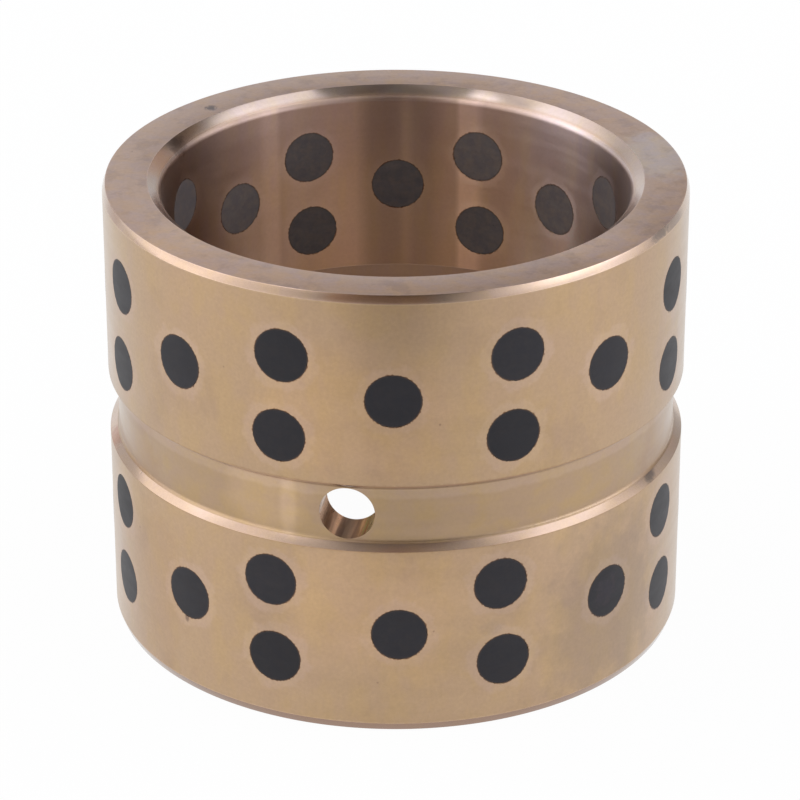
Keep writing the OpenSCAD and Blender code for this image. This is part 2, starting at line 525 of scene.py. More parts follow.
    drills = [
        drill(given["Plugs in a row"], given["Plug hole radius"], given[f"Height of {row}"],
              given[f"Angle of {row}"])
        for row in ROWS
    ]
    drills.append(drill(1, given["Oil hole radius"], middle, given["Oil hole angle"]))
    all_drills = bench.add("GeometryNodeJoinGeometry", {"Geometry": drills})
    marked_drills = bench.keep(all_drills.outputs[0], "cut", len(cuts), "INT", "FACE")
    drilled = bench.add(
        "GeometryNodeMeshBoolean", {0: marked, 1: marked_drills}, operation="DIFFERENCE", solver="MANIFOLD"
    )
    crisped = use(bench, crisp, {"Shape": drilled.outputs[0]})
    shape = bench.add("GeometryNodeRealizeInstances", {"Geometry": crisped["Shape"]})
    made_by = bench.read("cut", "INT")
    for number, finish in enumerate([name for name, _ in cuts] + ["drilled"]):
        this_cut = bench.add(
            "FunctionNodeCompare", {"A": made_by, "B": number}, data_type="INT", operation="EQUAL"
        )
        shape = bench.add(
            "GeometryNodeSetMaterial",
            {"Geometry": shape.outputs[0], "Selection": this_cut.outputs[0], "Material": finishes[finish]},
        )
    bench.put(result["Ring"], shape.outputs[0])
    return bench.tree


def plug_row_tree(rods, crisp, graphite):
    """One row of graphite plugs, turned flush with both faces, with slightly smeared and chipped rims."""
    bench, given, result = new_tree(
        "Graphite plug row", "GeometryNodeTree", plug_row_sizes(ROWS[0]), {"Plugs": "shape"}
    )
    row = use(bench, rods, {
        "Count": given["Plugs"], "Radius": given["Plug radius"], "Height": given["Height"],
        "First angle": given["First angle"], "Sides": 96, "Rings": 8,
        "Inner radius": bench.less(given["Bore radius"], given["Smear thickness"]),
        "Outer radius": bench.sum(given["Outer radius"], given["Smear thickness"]),
        "Ragged": given["Ragged rim"], "Seed": given["Seed"],
    })["Rods"]
    crisped = use(bench, crisp, {"Shape": row})
    real = bench.add("GeometryNodeRealizeInstances", {"Geometry": crisped["Shape"]})
    dressed = bench.add("GeometryNodeSetMaterial", {"Geometry": real.outputs[0], "Material": graphite})
    bench.put(result["Plugs"], dressed.outputs[0])
    return bench.tree


def make_piece(name, tree, sizes, stands_for):
    """Runs a tree on an empty mesh, keeps the result as the piece's own mesh, and seats it on the body."""
    piece = bpy.data.objects.new(name, bpy.data.meshes.new(name))
    bpy.context.collection.objects.link(piece)
    shaper = piece.modifiers.new("Shape", "NODES")
    shaper.node_group = tree
    for socket in tree.interface.items_tree:
        if socket.item_type == "SOCKET" and socket.in_out == "INPUT" and socket.name in sizes:
            shaper[socket.identifier] = sizes[socket.name]
    graph = bpy.context.evaluated_depsgraph_get()
    mesh = bpy.data.meshes.new_from_object(
        piece.evaluated_get(graph), preserve_all_data_layers=True, depsgraph=graph
    )
    piece.modifiers.remove(shaper)
    piece.data = mesh
    mesh.name = name
    for empty in [place for place, material in enumerate(mesh.materials) if material is None][::-1]:
        mesh.materials.pop(index=empty)
    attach(piece, BODY)
    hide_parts(*stands_for)


# ---------------------------------------------------------------- effects shared by the finishes

def place_on_ring():
    """Where a spot is on the ring: its angle round the axis, its radius and its height."""
    bench, given, result = new_tree(
        "Place on the ring", "ShaderNodeTree", {"Place": "vector"},
        {"Angle": "value", "Radius": "value", "Height": "value"},
    )
    place = bench.split(given["Place"])
    bench.put(result["Angle"], bench.math("ARCTAN2", place["Y"], place["X"]))
    bench.put(result["Radius"], bench.slope(place["X"], place["Y"]))
    bench.put(result["Height"], place["Z"])
    return bench.tree


def alloy_clouds():
    """The uneven tint of cast metal or pressed powder: clouds of two other shades in the main one."""
    bench, given, result = new_tree(
        "Alloy clouds", "ShaderNodeTree",
        {"Place": "vector", "Colour": (0.5, 0.4, 0.3, 1.0), "Second": (0.5, 0.4, 0.2, 1.0),
         "Third": (0.5, 0.4, 0.4, 1.0), "Size": 0.01, "Stretch": 1.0, "Amount": 0.5, "Grain": 0.0006,
         "Grain depth": 0.05, "Seed": 0.0},
        {"Colour": "colour", "Cloud": "value"},
    )
    steps = bench.over(1.0, given["Size"])
    steps_up = bench.over(steps, given["Stretch"])
    spot = bench.scaled(given["Place"], bench.vector(steps, steps, steps_up))
    second = bench.clouds(spot, given["Seed"], detail=4.0, roughness=0.55)
    third = bench.clouds(spot, bench.sum(given["Seed"], 5.3), detail=3.0, roughness=0.6)
    second_share = bench.times(bench.remap(second, 0.40, 0.64), given["Amount"])
    third_share = bench.times(bench.remap(third, 0.42, 0.68), given["Amount"])
    clouded = bench.blend(second_share, given["Colour"], given["Second"])
    clouded = bench.blend(third_share, clouded, given["Third"])
    fine_spot = bench.grained(given["Place"], given["Grain"])
    grain = bench.clouds(fine_spot, bench.sum(given["Seed"], 9.1), detail=1.0)
    lighter = bench.times(bench.less(grain, 0.5), bench.times(given["Grain depth"], 2.0))
    factor = bench.sum(1.0, lighter)
    tint = bench.blend(1.0, clouded, bench.vector(factor, factor, factor), "MULTIPLY")
    bench.put(result["Colour"], tint)
    bench.put(result["Cloud"], second)
    return bench.tree


def turning_marks():
    """Fine rings left by the tool, and broader streaks that follow them.

    Across is measured along the tool's feed, and Run is how far round the ring one mark lasts.
    """
    bench, given, result = new_tree(
        "Turning marks", "ShaderNodeTree",
        {"Place": "vector", "Across": 0.0, "Pitch": 0.0002, "Run": 0.02, "Seed": 0.0},
        {"Height": "value", "Streak": "value"},
    )
    place = bench.split(given["Place"])
    x, y = bench.over(place["X"], given["Run"]), bench.over(place["Y"], given["Run"])
    rings = bench.over(given["Across"], given["Pitch"])
    height = bench.clouds(bench.vector(x, y, rings), given["Seed"], detail=2.0, roughness=0.6)
    broad = bench.vector(x, y, bench.times(rings, 0.13))
    streak = bench.clouds(broad, bench.sum(given["Seed"], 2.7), detail=3.0, roughness=0.6)
    bench.put(result["Height"], height)
    bench.put(result["Streak"], streak)
    return bench.tree


def distance_to_plug_row():
    """How far a spot on the wall is from the nearest plug's axis in one row, and that plug's random lot."""
    bench, given, result = new_tree(
        "Distance to a plug row", "ShaderNodeTree",
        {"Angle": 0.0, "Radius": 0.05, "Height": 0.0, "Row angle": 0.0, "Row height": 0.0, "Plugs": 8.0},
        {"Distance": "value", "Lot": "value"},
    )
    pitch = bench.over(2 * math.pi, given["Plugs"])
    turned = bench.less(given["Angle"], given["Row angle"])
    number = bench.math("ROUND", bench.over(turned, pitch))
    arc = bench.times(bench.less(turned, bench.times(number, pitch)), given["Radius"])
    rise = bench.less(given["Height"], given["Row height"])
    bench.put(result["Distance"], bench.slope(arc, rise))
    # The plug's number in its row, and the row's height in tenths of a millimetre, stand for the plug
    number_in_row = bench.math("FLOORED_MODULO", number, given["Plugs"])
    row_number = bench.math("ROUND", bench.times(given["Row height"], 10 / MM))
    own = bench.vector(number_in_row, row_number)
    lot = bench.add("ShaderNodeTexWhiteNoise", {"Vector": own}, noise_dimensions="2D")
    bench.put(result["Lot"], lot.outputs[0])
    return bench.tree


def plug_rims(one_row):
    """The distance to the nearest plug's rim, which is less than zero on the plug, for all six rows."""
    takes = {"Angle": 0.0, "Radius": 0.05, "Height": 0.0, "Plug radius": 0.0046, "Plugs": 8.0}
    for row in ROWS:
        takes[f"Angle of {row}"] = ROW_ANGLE[row]
        takes[f"Height of {row}"] = ROW_HEIGHT[row]
    bench, given, result = new_tree(
        "Plug rims", "ShaderNodeTree", takes, {"Distance": "value", "Lot": "value"}
    )
    nearest, lot = 1.0, 0.0
    for row in ROWS:
        found = use(bench, one_row, {
            "Angle": given["Angle"], "Radius": given["Radius"], "Height": given["Height"],
            "Plugs": given["Plugs"], "Row angle": given[f"Angle of {row}"],
            "Row height": given[f"Height of {row}"],
        })
        closer = bench.math("LESS_THAN", found["Distance"], nearest)
        lot = bench.sum(bench.times(closer, found["Lot"]), bench.times(bench.less(1.0, closer), lot))
        nearest = bench.math("MINIMUM", nearest, found["Distance"])
    bench.put(result["Distance"], bench.less(nearest, given["Plug radius"]))
    bench.put(result["Lot"], lot)
    return bench.tree


def edge_wear():
    """A broken line along one or two edges across the turning, which the finishes use for painted shade,
    painted highlights and edge wear.
    """
    bench, given, result = new_tree(
        "Edge line", "ShaderNodeTree",
        {"Place": "vector", "Across": 0.0, "First edge": 0.0, "Second edge": 0.0, "Width": 0.0003,
         "Grain": 0.001, "Seed": 0.0},
        {"Near edge": "value"},
    )
    first = bench.math("ABSOLUTE", bench.less(given["Across"], given["First edge"]))
    second = bench.math("ABSOLUTE", bench.less(given["Across"], given["Second edge"]))
    spot = bench.grained(given["Place"], given["Grain"])
    broken = bench.clouds(spot, given["Seed"], detail=3.0, roughness=0.6)
    reach = bench.times(given["Width"], bench.remap(broken, 0.3, 0.7, 0.35, 1.65))
    bench.put(result["Near edge"], bench.fade(bench.math("MINIMUM", first, second), 0.0, reach))
    return bench.tree


def specks():
    """Sparse small round spots: pores in cast metal, or grains in pressed graphite."""
    bench, given, result = new_tree(
        "Specks", "ShaderNodeTree",
        {"Place": "vector", "Spacing": 0.002, "Radius": 0.0001, "Share": 0.3, "Seed": 0.0},
        {"Speck": "value"},
    )
    place = bench.moved(bench.grained(given["Place"], given["Spacing"]), given["Seed"])
    cells = bench.add(
        "ShaderNodeTexVoronoi", {"Vector": place, "Scale": 1.0}, voronoi_dimensions="3D"
    ).outputs
    # Two lots from each cell's own colour: whether it has a speck, and how big the speck is
    lots = bench.add("ShaderNodeSeparateColor", {0: cells["Color"]}).outputs
    kept = bench.math("LESS_THAN", lots[0], given["Share"])
    radius = bench.over(given["Radius"], given["Spacing"])
    reach = bench.times(radius, bench.math("MULTIPLY_ADD", lots[1], 0.8, 0.4))
    spot = bench.fade(cells["Distance"], bench.times(reach, 0.5), reach)
    bench.put(result["Speck"], bench.times(spot, kept))
    return bench.tree


def hairlines():
    """Fine handling scratches in three directions, on the wall laid flat as length round and height."""
    bench, given, result = new_tree(
        "Hairlines", "ShaderNodeTree",
        {"Round": 0.0, "Height": 0.0, "Length": 0.006, "Width": 0.00006, "Rarity": 0.68, "Seed": 0.0},
        {"Scratch": "value"},
    )
    flat = bench.vector(given["Round"], given["Height"])
    steps = bench.vector(bench.over(1.0, given["Length"]), bench.over(1.0, given["Width"]))
    scratch = 0.0
    for number, lean in enumerate((12, -38, 81)):
        turned = bench.add(
            "ShaderNodeVectorRotate", {"Vector": flat, "Angle": math.radians(lean)}, rotation_type="Z_AXIS"
        ).outputs[0]
        seed = bench.sum(given["Seed"], 1.9 * number)
        streaks = bench.clouds(bench.scaled(turned, steps), seed, detail=1.0, flat=True)
        lines = bench.remap(streaks, given["Rarity"], bench.sum(given["Rarity"], 0.06))
        scratch = bench.math("MAXIMUM", scratch, lines)
    bench.put(result["Scratch"], scratch)
    return bench.tree


def local_mark():
    """One soft-edged mark at a given place, such as a nick, a smudge or a burr."""
    bench, given, result = new_tree(
        "Local mark", "ShaderNodeTree",
        {"Place": "vector", "Centre": (0.0, 0.0, 0.0), "Reach": (0.001, 0.001, 0.001), "Ragged": 0.5,
         "Grain": 0.001, "Seed": 0.0},
        {"Mark": "value"},
    )
    offset = bench.vector_math("SUBTRACT", given["Place"], given["Centre"])
    reaches = bench.vector_math("DIVIDE", offset, given["Reach"])
    away = bench.add("ShaderNodeVectorMath", {0: reaches}, operation="LENGTH").outputs["Value"]
    spot = bench.grained(given["Place"], given["Grain"])
    rough = bench.clouds(spot, given["Seed"], detail=3.0, roughness=0.6)
    ragged = bench.sum(away, bench.times(bench.less(rough, 0.5), given["Ragged"]))
    bench.put(result["Mark"], bench.fade(ragged, 0.45, 1.15))
    return bench.tree


ON_RING = place_on_ring()
CLOUDS = alloy_clouds()
MARKS = turning_marks()
RIMS = plug_rims(distance_to_plug_row())
EDGE_LINE = edge_wear()
SPECKS = specks()
HAIRLINES = hairlines()
LOCAL = local_mark()


# ---------------------------------------------------------------- finishes

QUARTER_TURN = 0.25
FILM_ROUGHNESS = 0.2
CLOUD_ROUGHNESS = 0.08
RAGGED_STAIN = 0.6 * MM

# A spot nearer the axis than this is on the running face itself. Off that face, a spot farther than this from
# the middle height is on a lead-in, and a nearer one is in the groove.
RUNNING_FACE = BORE_RADIUS + 0.1 * MM
LEAD_INS_FROM = 30 * MM


def shade(colour, factors):
    return tuple(part * factor for part, factor in zip(colour, factors)) + (1.0,)


class Finish:
    """A material on its bench, with where a spot is on the ring and the nodes that every finish here uses."""

    def __init__(self, name, metallic, streak=0.0, film=0.0, film_index=1.5):
        self.material = bpy.data.materials.new(name)
        self.material.use_nodes = True
        self.bench = Bench(self.material.node_tree)
        self.shader = self.material.node_tree.nodes["Principled BSDF"].inputs
        self.shader["Metallic"].default_value = metallic
        self.shader["Anisotropic"].default_value = streak
        self.shader["Anisotropic Rotation"].default_value = QUARTER_TURN
        self.shader["Coat Weight"].default_value = film
        self.shader["Coat Roughness"].default_value = FILM_ROUGHNESS
        self.shader["Coat IOR"].default_value = film_index
        self.place = self.bench.add("ShaderNodeTexCoord").outputs["Object"]
        self.spot = use(self.bench, ON_RING, {"Place": self.place})
        self.above_middle = self.bench.less(self.spot["Height"], RING_LENGTH / 2)
        self.off_middle = self.bench.math("ABSOLUTE", self.above_middle)
        self.colour = self.roughness = None
        self.height = 0.0

    def tint(self, colour, roughness, size, amount, seed, stretch=1.0, grain=0.05,
             second=(1.03, 1.02, 0.88), third=(0.98, 0.975, 1.04)):
        """The metal's own colour, clouded with a yellower and a pinker shade of it."""
        alloy = use(self.bench, CLOUDS, {
            "Place": self.place, "Colour": (*colour, 1.0), "Second": shade(colour, second),
            "Third": shade(colour, third), "Size": size, "Stretch": stretch, "Amount": amount,
            "Grain depth": grain, "Seed": seed,
        })
        self.colour = alloy["Colour"]
        self.roughness = self.bench.math(
            "MULTIPLY_ADD", alloy["Cloud"], CLOUD_ROUGHNESS, roughness - CLOUD_ROUGHNESS / 2
        )

    def turn(self, across, pitch, depth, seed, streak_tint=0.06, run=0.02):
        """Turning marks: relief in microns, and faint streaks in the colour and the roughness."""
        marks = use(self.bench, MARKS, {
            "Place": self.place, "Across": across, "Pitch": pitch, "Run": run, "Seed": seed,
        })
        self.raise_by(marks["Height"], depth)
        streak = self.bench.remap(marks["Streak"], 0.35, 0.65)
        self.tone(streak, (1 - streak_tint,) * 3)
        self.roughen(streak, 0.03)

    def tone(self, mask, factors):
        """Multiplies the colour under a mask: factors below 1 darken it and factors above 1 make it paler."""
        self.colour = self.bench.blend(mask, self.colour, (*factors, 1.0), "MULTIPLY")

    def paint(self, mask, colour):
        self.colour = self.bench.blend(mask, self.colour, (*colour, 1.0))

    def roughen(self, mask, amount):
        self.roughness = self.bench.math("MULTIPLY_ADD", mask, amount, self.roughness)

    def raise_by(self, mask, microns):
        self.height = self.bench.math("MULTIPLY_ADD", mask, microns, self.height)

    def wear(self, across, edges, width, seed):
        return use(self.bench, EDGE_LINE, {
            "Place": self.place, "Across": across, "First edge": edges[0], "Second edge": edges[-1],
            "Width": width, "Seed": seed,
        })["Near edge"]

    def specks(self, spacing, radius, share, seed):
        return use(self.bench, SPECKS, {
            "Place": self.place, "Spacing": spacing, "Radius": radius, "Share": share, "Seed": seed,
        })["Speck"]

    def hairlines(self, rarity, seed):
        round_it = self.bench.times(self.spot["Angle"], self.spot["Radius"])
        return use(self.bench, HAIRLINES, {
            "Round": round_it, "Height": self.spot["Height"], "Rarity": rarity, "Seed": seed,
        })["Scratch"]

    def mark(self, centre, reach, ragged=0.5, grain=1.0, seed=0.0):
        """A local mark, with its place, reach and grain in millimetres."""
        return use(self.bench, LOCAL, {
            "Place": self.place, "Centre": tuple(part * MM for part in centre),
            "Reach": tuple(part * MM for part in reach), "Ragged": ragged, "Grain": grain * MM, "Seed": seed,
        })["Mark"]

    def rims(self):
        return use(self.bench, RIMS, {
            "Angle": self.spot["Angle"], "Radius": self.spot["Radius"], "Height": self.spot["Height"],
            "Plug radius": PLUG_RADIUS, "Plugs": float(PLUGS_PER_ROW),
        })

    def halo(self, width, amount, rim_width):
        """Metal rubbed pale round each plug, and a thin stain of graphite at its very rim."""
        away = self.rims()["Distance"]
        ragged = self.bench.clouds(self.bench.dense(self.place, 450.0), seed=4.0, detail=3.0)
        edge = self.bench.sum(away, self.bench.times(self.bench.less(ragged, 0.5), width * 1.8))
        rubbed = self.bench.fade(edge, width * 0.5, width)
        self.tone(self.bench.times(rubbed, amount), (1.07, 1.09, 1.22))
        self.roughen(rubbed, 0.04)
        chipped = self.bench.clouds(self.bench.dense(self.place, 2200.0), seed=4.6, detail=2.0)
        rim = self.bench.less(away, self.bench.times(self.bench.less(chipped, 0.45), RAGGED_STAIN))
        self.tone(self.bench.fade(rim, 0.0, rim_width), (0.40, 0.32, 0.28))

    def done(self):
        self.bench.put(self.shader["Base Color"], self.colour)
        self.bench.put(self.shader["Roughness"], self.roughness)
        bump = self.bench.add("ShaderNodeBump", {"Strength": 1.0, "Distance": MICRON, "Height": self.height})
        self.bench.put(self.shader["Normal"], bump.outputs[0])
        return self.material


def turned_bronze():
    """The outside, between the chamfers: satin, clouded, with pale halos round the plugs, and painted light
    and shade on the lands.
    """
    finish = Finish("Turned bronze", 1.0, streak=0.85, film=0.5)
    bench = finish.bench
    finish.tint((0.487, 0.325, 0.194), roughness=0.30, size=0.0055, amount=0.7, seed=1.0, stretch=1.7,
                grain=0.075)
    finish.turn(finish.spot["Height"], pitch=0.00035, depth=1.0, seed=2.0, streak_tint=0.012, run=0.03)
    stain_place = bench.scaled(finish.place, (90.0, 90.0, 60.0))
    stains = bench.clouds(stain_place, seed=2.4, detail=4.0, roughness=0.6)
    finish.tone(bench.remap(stains, 0.52, 0.72), (0.92, 0.915, 0.94))
    # Painted reflections: paler patches on the front of the lower and upper lands
    painted_reflection = finish.mark((-2.6, -50.0, 24.0), (19.0, 14.0, 16.0), ragged=0.9, grain=9.0, seed=2.6)
    finish.tone(bench.times(painted_reflection, 0.9), (1.18, 1.15, 1.12))
    painted_reflection_higher = finish.mark((-7.0, -49.5, 58.0), (20.0, 14.0, 15.0), ragged=0.9, grain=8.0, seed=2.7)
    finish.tone(bench.times(painted_reflection_higher, 0.9), (1.10, 1.06, 1.01))
    # Painted shade: darker patches on the lands to the right and left of the front
    painted_land_shade_right = finish.mark((35.5, -35.2, 15.0), (15.0, 15.0, 21.0), ragged=1.1, grain=5.0, seed=2.8)
    finish.tone(painted_land_shade_right, (0.78, 0.80, 0.86))
    painted_land_shade_left = finish.mark((-42.0, -27.0, 16.0), (13.0, 13.0, 20.0), ragged=1.1, grain=5.0, seed=2.9)
    finish.tone(painted_land_shade_left, (0.95, 0.92, 0.89))
    finish.halo(width=0.0021, amount=0.8, rim_width=0.00016)
    # Painted shade: a dark broken line on the lands along the groove's edges
    painted_edge_shade = finish.wear(finish.off_middle, [GROOVE_EDGE], width=0.00028, seed=3.0)
    finish.tone(bench.times(painted_edge_shade, 0.5), (0.7, 0.6, 0.52))
    # Edge wear and a painted highlight: a pale broken line along the chamfer edges
    bright = finish.wear(finish.off_middle, [CHAMFER_EDGE], width=0.0002, seed=5.0)
    finish.tone(bench.times(bright, 0.8), (1.18, 1.22, 1.3))
    pores = finish.specks(spacing=0.005, radius=0.00022, share=0.28, seed=6.0)
    finish.tone(bench.times(pores, 0.6), (0.55, 0.5, 0.5))
    finish.raise_by(pores, microns=-12.0)
    scratch = finish.hairlines(rarity=0.70, seed=7.0)
    finish.tone(bench.times(scratch, 0.5), (1.12, 1.14, 1.2))
    finish.raise_by(scratch, microns=-1.0)
    burr = finish.mark((-35.5, -35.3, 13.6), (0.6, 0.6, 1.0), seed=8.0)
    finish.tone(burr, (0.5, 0.48, 0.5))
    haze = finish.mark((16.1, -47.3, 18.3), (2.4, 2.4, 1.6), ragged=1.2, grain=1.6, seed=9.0)
    finish.tone(bench.times(haze, 0.6), (0.84, 0.86, 0.95))
    return finish.done()


def chamfered_bronze():
    """The end chamfers and the groove's sides: cut last with a keen tool, so brighter and smoother."""
    finish = Finish("Chamfered bronze", 1.0, streak=0.8, film=0.8, film_index=1.7)
    finish.tint((0.475, 0.315, 0.210), roughness=0.12, size=0.003, amount=0.6, seed=11.0, grain=0.06)
    finish.turn(finish.off_middle, pitch=0.0003, depth=0.7, seed=12.0, streak_tint=0.03)
    # Edge wear and a painted highlight: a pale broken line along both edges of the end chamfers
    bright = finish.wear(finish.off_middle, [CHAMFER_EDGE, END_FACE], width=0.00018, seed=13.0)
    finish.tone(bright, (1.15, 1.18, 1.25))
    smudge = finish.mark((43.6, -24.1, 79.6), (2.2, 4.4, 1.3), ragged=1.6, grain=0.9, seed=14.0)
    finish.tone(smudge, (0.50, 0.50, 0.54))
    finish.roughen(smudge, 0.25)
    # Painted shade: the top end chamfer is darker at its right and at its left
    painted_chamfer_shade_right = ((46.4, -18.0, 79.3), (0.56, 0.54, 0.53))
    painted_chamfer_shade_left = ((-47.3, -15.4, 79.3), (0.78, 0.66, 0.58))
    for centre, factors in (painted_chamfer_shade_right, painted_chamfer_shade_left):
        painted_chamfer_shade = finish.mark(centre, (2.6, 6.0, 1.6), ragged=0.5, grain=2.0, seed=14.2)
        finish.tone(painted_chamfer_shade, factors)
    stain = finish.mark((43.0, -23.2, 34.6), (1.2, 3.0, 1.6), ragged=0.9, grain=1.2, seed=14.5)
    finish.tone(stain, (0.42, 0.42, 0.46))
    blotch = finish.mark((-48.0, -8.0, 34.0), (2.0, 5.0, 2.0), ragged=1.2, grain=1.0, seed=14.7)
    finish.tone(blotch, (0.74, 0.50, 0.36))
    # Painted shade: darker close to the table
    painted_shade_near_table = finish.bench.fade(finish.spot["Height"], 2 * MM, 4 * MM)
    finish.tone(painted_shade_near_table, (0.62, 0.55, 0.54))
    nicks = finish.specks(spacing=0.006, radius=0.00035, share=0.3, seed=15.0)
    finish.roughen(nicks, 0.15)
    finish.raise_by(nicks, microns=-14.0)
    return finish.done()


def grooved_bronze():
    """The oil groove's floor: oily, with a painted highlight under its upper edge, a painted reflection left
    of the front, and painted shade at its sides and corners.
    """
    finish = Finish("Grooved bronze", 1.0, streak=0.85, film=0.6)
    bench = finish.bench
    finish.tint((0.425, 0.285, 0.168), roughness=0.30, size=0.0055, amount=1.0, seed=21.0, stretch=0.8)
    finish.turn(finish.spot["Height"], pitch=0.0003, depth=1.0, seed=22.0, streak_tint=0.02, run=0.03)
    # Painted highlight: a pale band on the floor under the groove's upper edge
    ragged = bench.clouds(bench.dense(finish.place, 300.0), seed=22.5, detail=3.0)
    edge = bench.sum(finish.above_middle, bench.times(bench.less(ragged, 0.5), 1.2 * MM))
    painted_highlight_band = bench.remap(edge, 2.6 * MM, 3.4 * MM)
    finish.tone(bench.times(painted_highlight_band, 0.7), (1.16, 1.20, 1.38))
    # Painted reflection: a pale strip and a paler patch on the floor left of the front
    painted_reflection = finish.mark((-17.7, -45.0, 40.5), (1.7, 2.4, 9.0), ragged=0.3, grain=2.0, seed=22.7)
    finish.tone(painted_reflection, (1.16, 1.18, 1.22))
    paler = finish.mark((-21.5, -43.4, 41.5), (9.0, 7.0, 8.0), ragged=0.6, grain=5.0, seed=22.8)
    finish.tone(paler, (1.20, 1.20, 1.18))
    # Painted shade: the floor is darker at its left and right sides
    for centre in ((-44.5, -19.0, 40.0), (45.5, -16.5, 40.0)):
        painted_groove_side_shade = finish.mark(centre, (7.0, 14.0, 10.0), ragged=1.3, grain=5.0, seed=22.9)
        finish.tone(painted_groove_side_shade, (0.90, 0.82, 0.75))
    # Painted shade: a dark broken line along the floor's corners
    corner_line = 5 * MM
    corner = finish.wear(finish.off_middle, [corner_line], width=0.0005, seed=23.0)
    finish.tone(bench.times(corner, 0.25), (0.75, 0.66, 0.58))
    pores = finish.specks(spacing=0.0045, radius=0.0002, share=0.3, seed=24.0)
    finish.tone(pores, (0.6, 0.55, 0.52))
    finish.raise_by(pores, microns=-10.0)
    return finish.done()


BACK = math.pi / 2

# Painted reflections: upright pale and dark bands in the bore, in degrees from the back towards +X, and how
# pale each is
PAINTED_REFLECTION_BANDS = [
    (-75, 0.50), (-58, 0.52), (-44, 0.50), (-38, 0.58), (-35.5, 0.70), (-32.5, 0.72), (-31, 0.58),
    (-27.5, 0.62), (-20, 0.66), (-14, 0.72), (-10.5, 0.72), (-6.5, 0.50), (-3, 0.43), (0.5, 0.43),
    (2.5, 0.51), (5, 0.43), (8, 0.46), (13, 0.53), (15.8, 0.54), (16.8, 0.78), (21, 0.76), (23.5, 0.56),
    (29, 0.52), (40, 0.60), (52, 0.82), (62, 0.66), (75, 0.50),
]


def rubbed_bands():
    """How pale the painted reflection bands make the bore at an angle round it: 0.5 is its own colour."""
    bench, given, result = new_tree(
        "Painted reflection bands", "ShaderNodeTree", {"Angle": 0.0, "Middle": BACK}, {"Paleness": "value"}
    )
    off = bench.math("DEGREES", bench.less(given["Middle"], given["Angle"]))
    ramp = bench.add("ShaderNodeValToRGB", {"Fac": bench.remap(off, -90.0, 90.0, kind="LINEAR")})
    points = ramp.color_ramp.elements
    while len(points) < len(PAINTED_REFLECTION_BANDS):
        points.new(1.0)
    for point, (angle, paleness) in zip(points, PAINTED_REFLECTION_BANDS):
        point.position = (angle + 90) / 180
        point.color = (paleness, paleness, paleness, 1.0)
    bench.put(result["Paleness"], bench.split(ramp.outputs[0])["X"])
    return bench.tree


def bored_bronze():
    """The bore, its lead-ins and its groove: the running face, with close rings, painted reflections in
    upright bands, and painted light and shade.
    """
    finish = Finish("Bored bronze", 1.0, streak=0.9, film=0.5)
    bench = finish.bench
    finish.tint((0.475, 0.305, 0.195), roughness=0.31, size=0.004, amount=0.7, seed=31.0, stretch=3.0,
                grain=0.06)
    finish.turn(finish.spot["Height"], pitch=0.00022, depth=0.8, seed=32.0, streak_tint=0.02, run=0.05)
    in_bore = bench.fade(finish.spot["Radius"], RUNNING_FACE, BORE_RADIUS + 0.8 * MM)
    # Painted reflections: upright paler and darker bands round the bore
    bands = use(bench, rubbed_bands(), {"Angle": finish.spot["Angle"], "Middle": BACK})["Paleness"]
    paleness = bench.less(bench.times(bands, 2.0), 1.0)
    paler = bench.math("MAXIMUM", paleness, 0.0)
    darker = bench.math("MAXIMUM", bench.times(paleness, -1.0), 0.0)
    finish.tone(bench.times(in_bore, paler), (2.0, 2.05, 2.1))
    finish.tone(bench.times(in_bore, darker), (0.0, 0.0, 0.05))
    finish.tone(in_bore, (0.86, 0.85, 0.88))
    # Painted shade: the lower part of the bore at the back is darker
    low = bench.fade(finish.spot["Height"], 42 * MM, 62 * MM)
    off_back = bench.math("ABSOLUTE", bench.less(finish.spot["Angle"], BACK))
    at_back = bench.fade(off_back, math.radians(22), math.radians(38))
    finish.tone(bench.times(bench.times(in_bore, low), at_back), (0.78, 0.69, 0.63))
    # Painted light: paler and bluer low down on either side of the back
    beside_back = bench.remap(off_back, math.radians(30), math.radians(58))
    lower = bench.fade(finish.spot["Height"], 52 * MM, 74 * MM)
    finish.tone(bench.times(bench.times(in_bore, lower), beside_back), (1.35, 1.5, 1.7))
    # Painted light: paler and bluer towards the top of the bore
    high = bench.remap(finish.spot["Height"], 60 * MM, 78 * MM)
    finish.tone(bench.times(in_bore, high), (0.96, 1.02, 1.22))
    # Painted light: paler and bluer on the right of the bore
    turned_right = bench.less(BACK, finish.spot["Angle"])
    on_right = bench.times(
        bench.remap(turned_right, math.radians(25), math.radians(50)),
        bench.fade(turned_right, math.radians(100), math.radians(150)),
    )
    finish.tone(bench.times(in_bore, on_right), (1.28, 1.50, 1.78))
    finish.halo(width=0.0014, amount=0.15, rim_width=0.00014)
    on_slope = bench.remap(finish.spot["Radius"], RUNNING_FACE, BORE_RADIUS + 1.2 * MM)
    in_lead = bench.times(on_slope, bench.math("GREATER_THAN", finish.off_middle, LEAD_INS_FROM))
    finish.tone(in_lead, (1.0, 1.17, 1.50))
    finish.roughen(in_lead, -0.17)
    # A darker patch on the lead-in at the far left
    dark_lead_in_patch = finish.mark((-38.2, 16.0, 78.6), (2.0, 3.4, 2.2), ragged=1.2, grain=1.2, seed=33.0)
    finish.tone(dark_lead_in_patch, (0.50, 0.46, 0.44))
    # Painted shade: the groove in the bore is darker
    recessed = bench.remap(finish.spot["Radius"], RUNNING_FACE, BORE_RADIUS + 0.5 * MM)
    in_groove = bench.times(recessed, bench.math("LESS_THAN", finish.off_middle, LEAD_INS_FROM))
    finish.tone(in_groove, (0.55, 0.48, 0.45))
    return finish.done()


